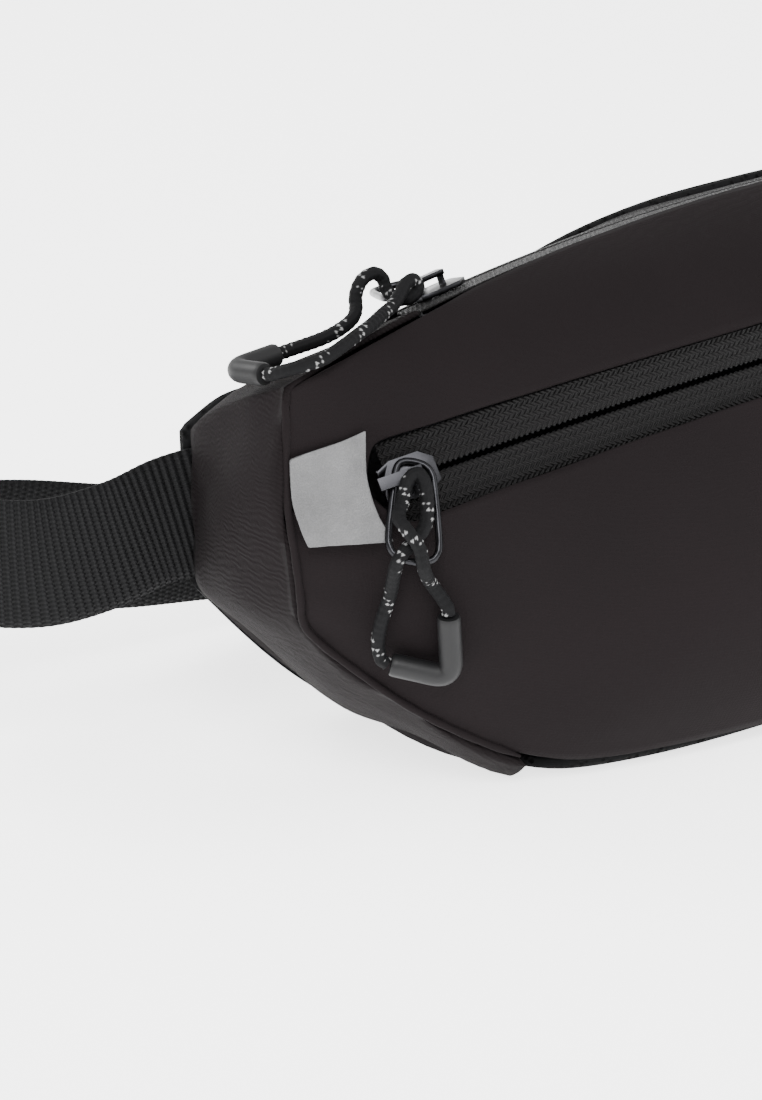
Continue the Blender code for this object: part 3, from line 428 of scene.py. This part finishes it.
def tube(points, radius, sides, caps=True):
    """A mesh tube along points; radius(s, angle) in metres. Also returns (s, angle) for each vertex."""
    along = [(points[min(k + 1, len(points) - 1)] - points[max(k - 1, 0)]).normalized()
             for k in range(len(points))]
    side = along[0].orthogonal().normalized()
    mesh = bmesh.new()
    rings = []
    where = []
    s = 0.0
    for k, point in enumerate(points):
        if k:
            s += (point - points[k - 1]).length
        side = (side - along[k] * side.dot(along[k])).normalized()
        other = along[k].cross(side)
        line = []
        for n in range(sides):
            angle = 2 * math.pi * n / sides
            out = side * math.cos(angle) + other * math.sin(angle)
            line.append(mesh.verts.new(point + out * radius(s, angle)))
            where.append((s, angle))
        rings.append(line)
    for a, b in zip(rings, rings[1:]):
        for n in range(sides):
            m = (n + 1) % sides
            mesh.faces.new((a[n], a[m], b[m], b[n]))
    if caps:
        mesh.faces.new(list(reversed(rings[0])))
        mesh.faces.new(rings[-1])
    made = bpy.data.meshes.new("tube")
    mesh.to_mesh(made)
    mesh.free()
    smooth(made, 60)
    return made, where


# ---- cords ----
CORD = 0.0028
GRIP = 0.0048
FRONT_GRIP = [(-122.2, -15.2, 33.2), (-112.4, -22.3, 29.8), (-113.4, -23.3, 43.8)]
TOP_GRIP = [(-124.2, 18.0, 90.4), (-135.4, 17.6, 89.8), (-134.2, 7.6, 91.4)]
FRONT_ROUTE = [
    (-122.8, -14.8, 33.4), (-123.9, -14.1, 34.7), (-124.4, -14.2, 38.5), (-123.9, -15.2, 43.5),
    (-122.9, -16.6, 48.5), (-124.2, -20.9, 56.5), (-122.8, -21.6, 59.3), (-119.6, -21.6, 61.4),
    (-117.1, -21.5, 63.9), (-115.8, -20.5, 67.8), (-115.2, -19, 71.4), (-115.8, -17.5, 73.2),
    (-118, -17.2, 72), (-119.8, -18, 68.8), (-122.6, -20.2, 66.5), (-122.5, -23.2, 64.2),
    (-121.1, -24.8, 60.9), (-120.2, -25, 56), (-116.4, -21.4, 51.4), (-114.6, -22, 48.4),
    (-113.6, -23.2, 45.8), (-113.43, -23.33, 44.25),
]
TOP_ROUTE = [
    (-123.7, 18.02, 90.43), (-121, 17.2, 91), (-116.5, 13.6, 93), (-112.4, 12.6, 94.4),
    (-108.4, 13.6, 95.6), (-106.3, 15.4, 96.8), (-105.4, 16.6, 99), (-103.6, 17, 101.6),
    (-100.8, 17, 102.6), (-98.6, 16.8, 101.2), (-98.3, 15.8, 98.8), (-97.6, 13.6, 97.4),
    (-95.6, 11.6, 97.6), (-93.8, 11.2, 99.4), (-94.8, 11.2, 101.4), (-97.2, 10.8, 101),
    (-99.4, 9.8, 99.4), (-102.2, 8.4, 98.2), (-106, 6.6, 97.7), (-110.4, 4, 97.4),
    (-115.6, 1.9, 96.8), (-120.6, 0.2, 96), (-125.4, -0.6, 94.9), (-129.4, -0.2, 94.4),
    (-132, 1.6, 93.6), (-133.7, 4.8, 92.2), (-134.15, 7.1, 91.48),
]
STRANDS = 4
BRAID = 0.0030


def bag_points(points):
    return [Vector((x / 1000, y / 1000 + BAG_Y, z / 1000)) for x, y, z in points]


def braided_cord(name, route, yarn):
    points, length = through(bag_points(route), 0.00032)

    def phases(s, angle):
        return STRANDS * angle + 2 * math.pi * s / BRAID, STRANDS * angle - 2 * math.pi * s / BRAID

    def radius(s, angle):
        one, two = phases(s, angle)
        return CORD / 2 * (0.965 + 0.075 * math.sin(one) * math.sin(two))

    mesh, where = tube(points, radius, 32)
    flecks = mesh.attributes.new("fleck", "FLOAT", "POINT")
    for k, (s, angle) in enumerate(where):
        one, two = phases(s, angle)
        strand = math.floor(one / (2 * math.pi)) % STRANDS
        on_top = math.sin(one) * math.sin(two)
        light = strand == 1 and math.floor(s / (BRAID * 0.5)) % 2 == 0
        flecks.data[k].value = min(1.0, max(0.0, (on_top - 0.15) * 3)) if light else 0.0
    made = add(name, mesh, yarn, "cord", None, name.replace("_braid", ""))
    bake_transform(made)
    return made


def soft_corner(first, corner, last, radius, steps=10):
    start = corner + (first - corner).normalized() * radius
    end = corner + (last - corner).normalized() * radius
    points = [first.lerp(start, k / 6) for k in range(6)]
    for n in range(steps + 1):
        t = n / steps
        points.append(start * (1 - t) ** 2 + corner * 2 * t * (1 - t) + end * t * t)
    return points + [end.lerp(last, k / 6) for k in range(1, 7)]


def v_grip(name, ends, node, body, finish):
    """Moulded grip: a round bar bent to a V, rounded at its rims."""
    points = soft_corner(*bag_points(ends), 0.0042)
    smooth_line, length = through(points, 0.0005)

    def radius(s, angle):
        rim = min(s, length - s)
        return GRIP / 2 * (0.90 + 0.10 * min(1.0, math.sqrt(max(rim, 0.0) / 0.0007)))

    mesh, _ = tube(smooth_line, radius, 28)
    return add(name, mesh, finish, "soft_grip", body, node)


# ---- zips: rows of teeth and knitted tapes, laid out on each slider's own arc ----
class Arc:
    """A zip's chain: points by arc length from the slider's rest, across it, and out of the cloth."""

    def __init__(self, joint, place, along, across, out):
        self.centre = Vector(JOINTS[joint]["pos_m"])
        self.axis = Vector(JOINTS[joint]["axis"]).normalized()
        self.place = Vector(place)
        self.along = Vector(along)
        self.across = Vector(across)
        self.out = Vector(out)
        arm = self.place - self.centre
        self.radius = (arm - self.axis * arm.dot(self.axis)).length

    def point(self, s, across, out):
        local = self.place + self.across * across + self.out * out
        turn = Matrix.Rotation(s / self.radius, 3, self.axis)
        return self.centre + turn @ (local - self.centre)

    def locate(self, point):
        """(arc length, across) of a point near the chain."""
        arm = Vector(point) - self.centre
        flat = arm - self.axis * arm.dot(self.axis)
        rest = self.place - self.centre
        rest_flat = rest - self.axis * rest.dot(self.axis)
        angle = math.atan2(rest_flat.cross(flat).dot(self.axis), rest_flat.dot(flat))
        return angle * self.radius, arm.dot(self.axis) - rest.dot(self.axis)


FRONT_ARC = Arc("front_slider_travel", (-0.1139, -0.03491, 0.0705), (0.93144, -0.30169, 0.20349),
                (0, 0.55919, 0.82904), (-0.3639, -0.7722, 0.52085))
TOP_ARC = Arc("top_slider_travel", (-0.0845, -0.00501, 0.09524), (0.99061, 0.04225, 0.13004),
              (0, 0.95106, -0.30902), (-0.13673, 0.30612, 0.94212))
TOOTH_PITCH = 0.00122
TOOTH_HALF = 0.00042
TOOTH_SIDES = 8
TOOTH_FORM = ((0.00042, 0.55), (0.00062, 1.0), (0.0014, 1.0), (0.0024, 0.9), (0.0027, 0.5))
FRONT_CHAIN = (-0.0007, 0.2340, -0.00255)    # start and end from the slider's rest, and depth
TOP_CHAIN = (-0.0085, 0.1780, -0.00175)


def teeth(arc, sign, low, high, depth):
    """One side's row of coil loops, each a short rounded bar across the chain."""
    made = bmesh.new()
    count = int((high - low) / TOOTH_PITCH)
    for n in range(count):
        s = low + TOOTH_PITCH * (n + (0.25 if sign > 0 else 0.75))
        stations = []
        for v, grow in TOOTH_FORM:
            line = []
            for k in range(TOOTH_SIDES):
                a = 2 * math.pi / TOOTH_SIDES * k
                du = TOOTH_HALF * grow * math.cos(a)
                dz = TOOTH_HALF * grow * 0.95 * math.sin(a)
                line.append(made.verts.new(arc.point(s + du, sign * v, depth + dz)))
            stations.append(line)
        for a, b in zip(stations, stations[1:]):
            for k in range(TOOTH_SIDES):
                m = (k + 1) % TOOTH_SIDES
                made.faces.new((a[k], a[m], b[m], b[k]))
        made.faces.new(list(reversed(stations[0])))
        made.faces.new(stations[-1])
    bmesh.ops.recalc_face_normals(made, faces=made.faces)
    mesh = bpy.data.meshes.new("teeth")
    made.to_mesh(mesh)
    made.free()
    smooth(mesh, 60)
    return mesh


def tape_look(node, arc, finish):
    mesh = refined(node, 2, crease=0.9)
    map_uv(mesh, arc.locate)
    return add(node + "_knit", mesh, finish, "zip_tape", "bag", node)


# ---- webbing ----
WEBBING_WIDTH = 0.028
WEBBING = 0.0015
RIB = 0.0016
REAR_Y = 0.0850
REAR_Z = 0.0185
PLUG_BAR = -0.0370
SOCKET_BAR = 0.0420
BELT_PATH = [
    (-0.118, 0.03881, 0.0512), (-0.128, 0.04116, 0.0512), (-0.138, 0.0434, 0.0500),
    (-0.150, 0.0440, 0.0478), (-0.164, 0.0472, 0.0466), (-0.177, 0.0548, 0.0480),
    (-0.1865, 0.0645, 0.0500), (-0.1885, 0.0750, 0.0480), (-0.1820, 0.0825, 0.0430),
    (-0.1690, REAR_Y, 0.0400), (-0.1490, REAR_Y, 0.0355), (-0.1230, REAR_Y, 0.0278),
    (-0.0995, REAR_Y, 0.0235), (-0.0800, REAR_Y, 0.0200),
]


def ribbed_strap(side, bar_x):
    """Woven strap standing on edge: ribs across it, thicker at its two selvedges."""
    tail = [(bar_x - side * short, REAR_Y, REAR_Z) for short in (0.020, 0.0075)]
    route = [Vector((x * side, y + BAG_Y, z)) for x, y, z in BELT_PATH]
    route += [Vector((x, y + BAG_Y, z)) for x, y, z in tail]
    points, _ = through(route, RIB / 4)
    columns = 18
    made = bmesh.new()
    where = []
    faces = []
    s = 0.0
    for k, point in enumerate(points):
        if k:
            s += (point - points[k - 1]).length
        along = (points[min(k + 1, len(points) - 1)] - points[max(k - 1, 0)]).normalized()
        flat = Vector((along.x, along.y, 0)).normalized()
        out = Vector((flat.y, -flat.x, 0))
        up = out.cross(along).normalized()
        if up.z < 0:
            up.negate()
        loop = []
        for face in (1, -1):
            for n in range(columns + 1):
                v = (n / columns - 0.5) * face
                edge = min(1.0, (0.5 - abs(v)) * WEBBING_WIDTH / 0.0007)
                rib = 0.5 + 0.5 * math.cos(2 * math.pi * (s + 0.10 * v * WEBBING_WIDTH) / RIB)
                thick = WEBBING / 2 * (0.45 + 0.55 * math.sqrt(max(edge, 0.0)))
                lift = thick - 0.00020 * (1 - rib)
                loop.append(made.verts.new(point - up * v * WEBBING_WIDTH + out * face * lift))
                where.append((s, v * WEBBING_WIDTH))
        faces.append(loop)
    around = len(faces[0])
    for a, b in zip(faces, faces[1:]):
        for k in range(around):
            m = (k + 1) % around
            made.faces.new((a[k], a[m], b[m], b[k]))
    made.faces.new(list(reversed(faces[0])))
    made.faces.new(faces[-1])
    bmesh.ops.recalc_face_normals(made, faces=made.faces)
    mesh = bpy.data.meshes.new("strap")
    made.to_mesh(mesh)
    made.free()
    smooth(mesh, 70)
    layer = mesh.uv_layers.new(name="lay")
    for loop in mesh.loops:
        layer.data[loop.index].uv = where[loop.vertex_index]
    return mesh


# ---- bag panels ----
def front_folds(point):
    """Slight fullness of the front cloth, with short puckers next to the side seam."""
    near = max(0.0, 1 - (HALF - abs(point.x)) / 0.030)
    soft = 0.0007 * grain(point, 22.0) + 0.00025 * grain(point, 60.0, 3.0)
    pucker = 0.0005 * near * grain(Vector((point.x * 0.4, point.y, point.z * 1.6)), 75.0, 7.0)
    return soft + pucker


def side_folds(point):
    """Long soft folds running down the side panel, from the belt to its lower front corner."""
    across = point.y * 0.62 + point.z * 0.78
    soft = 0.0008 * math.sin(across * 190 + 2.2 * grain(point, 30.0))
    return soft + 0.0005 * grain(point, 70.0, 5.0)


def back_folds(point):
    return 0.0006 * grain(point, 30.0, 9.0)


PIPING = 0.0017
HALF = 0.135             # half width of the front panels, to the side seam
SEAM_FROM = 0.1335       # beyond this from the middle, the seam climbs; within it, it runs under
UPPER_FROM_Z = 0.041
LOWER_TO_Z = 0.046
LOWER_FROM = 0.090


def seam_line(side):
    """The front panels' outer edge on one side, from its top down and round the lower corner."""
    found = []
    for node in ("front_panel_upper", "front_pocket_panel"):
        found += [v.co.copy() for v in frame["nodes"][node].data.vertices if v.co.x * side > 0.0]
    rows = {}
    for p in found:
        if abs(p.x) > SEAM_FROM and p.z > UPPER_FROM_Z:
            key = round(p.z / 0.0035)
            if key not in rows or p.y < rows[key].y:
                rows[key] = p
    upper = [rows[k] for k in sorted(rows, reverse=True)]
    lower = {}
    for p in found:
        if LOWER_FROM < abs(p.x) < SEAM_FROM and p.z < LOWER_TO_Z:
            key = round(abs(p.x) / 0.0045)
            if key not in lower or p.z < lower[key].z:
                lower[key] = p
    return upper + [lower[k] for k in sorted(lower, reverse=True)]


def piping(name, side, finish):
    """The seam's turned edge between the side panel and the front panels, as a soft roll."""
    line = seam_line(side)
    eased = [line[0]] + [(a + b * 2 + c) / 4 for a, b, c in zip(line, line[1:], line[2:])] + [line[-1]]
    points, length = through(eased, 0.0012)
    points = [p + Vector((side * 0.0005, 0.0004, 0)) for p in points]

    def radius(s, angle):
        rim = min(1.0, min(s, length - s) / 0.004)
        return PIPING / 2 * (0.35 + 0.65 * rim) * (1 + 0.05 * math.sin(s * 900))

    mesh, _ = tube(points, radius, 12)
    return add(name, mesh, finish, "shell_fabric", "bag")


def make_materials():
    shell = (0.0075, 0.0058, 0.0062)
    return {
        "shell": woven("shell_cloth", shell, 0.00070, 0.00003),
        "side": woven("side_cloth", tone(shell, 0.85), 0.0011, 0.00010, twill=True),
        "mesh": mesh_cloth("spacer_mesh", (0.0038, 0.0038, 0.0040)),
        "lining": woven("lining_cloth", (0.010, 0.010, 0.0105), 0.0006, 0.00004),
        "foam": moulded("closed_cell_foam", (0.06, 0.06, 0.065), 0.8, 0.95, 0.0002),
        "tape": knitted("zip_tape_knit", (0.0030, 0.0027, 0.0028)),
        "coil": moulded("nylon_coil", (0.0045, 0.0045, 0.005), 0.25, 0.42),
        "tab": reflective("glass_bead_cloth"),
        "metal": plated("gunmetal_plate", (0.022, 0.022, 0.024), 0.24, 0.38),
        "cord": cord_yarn("braided_cord_yarn"),
        "grip": moulded("soft_grip", (0.0078, 0.0078, 0.0082), 0.46, 0.60),
        "webbing": webbing_cloth("ribbed_webbing", (0.0042, 0.0042, 0.0045)),
        "buckle": moulded("buckle_acetal", (0.008, 0.008, 0.0085), 0.38, 0.55),
        "elastic": webbing_cloth("elastic_weave", (0.005, 0.005, 0.0055)),
    }


def bag_pieces(use):
    fronts = (("front_panel_upper", (0, -0.8, 0.6)), ("front_pocket_panel", (0, -1, 0.05)))
    for node, outward in fronts:
        mesh = refined(node, 2)
        sculpt(mesh, outward, front_folds)
        add(node + "_cloth", mesh, use["shell"], "shell_fabric", "bag", node)
    for word, side in (("left", -1), ("right", 1)):
        node = "side_panel_" + word
        mesh = refined(node, 2)
        sculpt(mesh, (side, -0.3, 0.1), side_folds)
        add(node + "_cloth", mesh, use["side"], "shell_fabric", "bag", node)
        piping("side_seam_" + word, side, use["shell"])
        node = "reflective_tab_" + word
        tab = refined(node, 3, crease=0.95)
        sculpt(tab, (0, -0.8, 0.5), lambda p: 0.00022 * grain(p, 130.0) + 0.0001 * grain(p, 300.0))
        add(node + "_cloth", tab, use["tab"], "reflective", "bag", node)
    back = refined("back_panel", 2)
    sculpt(back, (0, 0.9, -0.4), back_folds)
    add("back_panel_mesh", back, use["mesh"], "mesh_fabric", "bag", "back_panel")
    foam = refined("back_foam_pad", 2, crease=0.4)
    pad = add("back_foam_pad_soft", foam, use["foam"], "foam", "bag", "back_foam_pad")
    lining = refined("pocket_lining", 2)
    sculpt(lining, (0, -1, 0), back_folds)
    add("pocket_lining_cloth", lining, use["lining"], "lining", "bag", "pocket_lining")


def zip_pieces(use):
    for word in ("upper", "lower"):
        tape_look("front_zip_tape_" + word, FRONT_ARC, use["tape"])
    for word in ("front", "rear"):
        tape_look("top_zip_tape_" + word, TOP_ARC, use["tape"])
    rows = (("front_zip_coil_upper", FRONT_ARC, 1, FRONT_CHAIN),
            ("front_zip_coil_lower", FRONT_ARC, -1, FRONT_CHAIN),
            ("top_zip_coil_front", TOP_ARC, -1, TOP_CHAIN),
            ("top_zip_coil_rear", TOP_ARC, 1, TOP_CHAIN))
    for node, arc, sign, chain in rows:
        add(node + "_teeth", teeth(arc, sign, *chain), use["coil"], "zip_coil", "bag", node)


def belt_pieces(use):
    left = add("belt_webbing_left_woven", ribbed_strap(1, PLUG_BAR), use["webbing"], "webbing", None,
               "belt_webbing_left")
    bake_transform(left)
    add("belt_webbing_right_woven", ribbed_strap(-1, SOCKET_BAR), use["webbing"], "webbing", "bag",
        "belt_webbing_right")
    for word, body in (("left", "buckle_plug_body"), ("right", "bag")):
        node = "webbing_fold_" + word
        mesh = refined(node, 2, crease=0.7, sharp=60)
        map_uv(mesh, lambda p: (p.x, p.z))
        add(node + "_woven", mesh, use["webbing"], "webbing", body, node)
    band = refined("webbing_keeper", 2, crease=0.85)
    map_uv(band, lambda p: (p.z, p.x))
    add("webbing_keeper_elastic", band, use["elastic"], "elastic", "keeper", "webbing_keeper")


def welded(node, finish):
    """A frame node with its split vertices merged, smooth, in one material."""
    part = frame["nodes"][node]
    part.modifiers.new("weld", "WELD").merge_threshold = 0.00001
    part.data.materials.clear()
    part.data.materials.append(finish)
    part.data.shade_smooth()
    return part


def hard_pieces(use):
    """Frame nodes that keep their shape, with rounded edges."""
    rounded = (("buckle_socket", 0.0006, "buckle"), ("buckle_plug", 0.0006, "buckle"),
               ("plug_prong_upper", 0.0005, "buckle"), ("plug_prong_lower", 0.0005, "buckle"),
               ("front_slider", 0.00022, "metal"), ("top_slider", 0.00022, "metal"))
    for node, width, finish in rounded:
        rounding = welded(node, use[finish]).modifiers.new("rounding", "BEVEL")
        rounding.width = width
        rounding.segments = 3
        rounding.limit_method = "ANGLE"
        rounding.angle_limit = math.radians(35)
        rounding.harden_normals = False
    for node in ("front_pull_ring", "top_pull_ring"):
        divide = welded(node, use["metal"]).modifiers.new("divide", "SUBSURF")
        divide.levels = 1
        divide.render_levels = 1


def pull_pieces(use):
    front = v_grip("front_pull_grip_soft", FRONT_GRIP, "front_pull_grip", "front_grip", use["grip"])
    top = v_grip("top_pull_grip_soft", TOP_GRIP, "top_pull_grip", "top_grip", use["grip"])
    braided_cord("front_pull_cord_braid", FRONT_ROUTE,
                 use["cord"])
    braided_cord("top_pull_cord_braid", TOP_ROUTE,
                 use["cord"])


# ---- studio ----
FLOOR_GLOW = 2.4
SKY = 1.4
AIM = (-0.06, -0.02, 0.06)


def area_light(name, place, aim, size, power):
    data = bpy.data.lights.new(name, "AREA")
    data.shape = "DISK"
    data.size = size
    data.energy = power
    made = bpy.data.objects.new(name, data)
    SCENE.collection.objects.link(made)
    made.location = place
    made.rotation_euler = (Vector(place) - Vector(aim)).to_track_quat("Z", "Y").to_euler()


def studio():
    mesh = bmesh.new()
    bmesh.ops.create_grid(mesh, x_segments=1, y_segments=1, size=4.0)
    data = bpy.data.meshes.new("floor")
    mesh.to_mesh(data)
    mesh.free()
    floor = bpy.data.objects.new("floor", data)
    SCENE.collection.objects.link(floor)
    s = Shade("pale_floor", (0.97, 0.97, 0.97), 0.9)
    s.set("Emission Color", (1.0, 1.0, 1.0, 1.0))
    s.set("Emission Strength", FLOOR_GLOW)
    data.materials.append(s.finish())
    world = bpy.data.worlds.new("studio")
    SCENE.world = world
    world.use_nodes = True
    sky = world.node_tree.nodes["Background"]
    sky.inputs["Color"].default_value = (1.0, 1.0, 1.0, 1.0)
    sky.inputs["Strength"].default_value = SKY
    area_light("key", (-0.55, -0.80, 1.05), AIM, 0.7, 20.0)
    area_light("rim", (-0.50, 0.75, 0.70), AIM, 0.6, 9.0)
    area_light("fill", (0.80, -0.60, 0.55), AIM, 0.9, 5.0)


def build():
    make_camera()
    use = make_materials()
    pull_pieces(use)
    bag_pieces(use)
    zip_pieces(use)
    belt_pieces(use)
    hard_pieces(use)
    studio()


build()
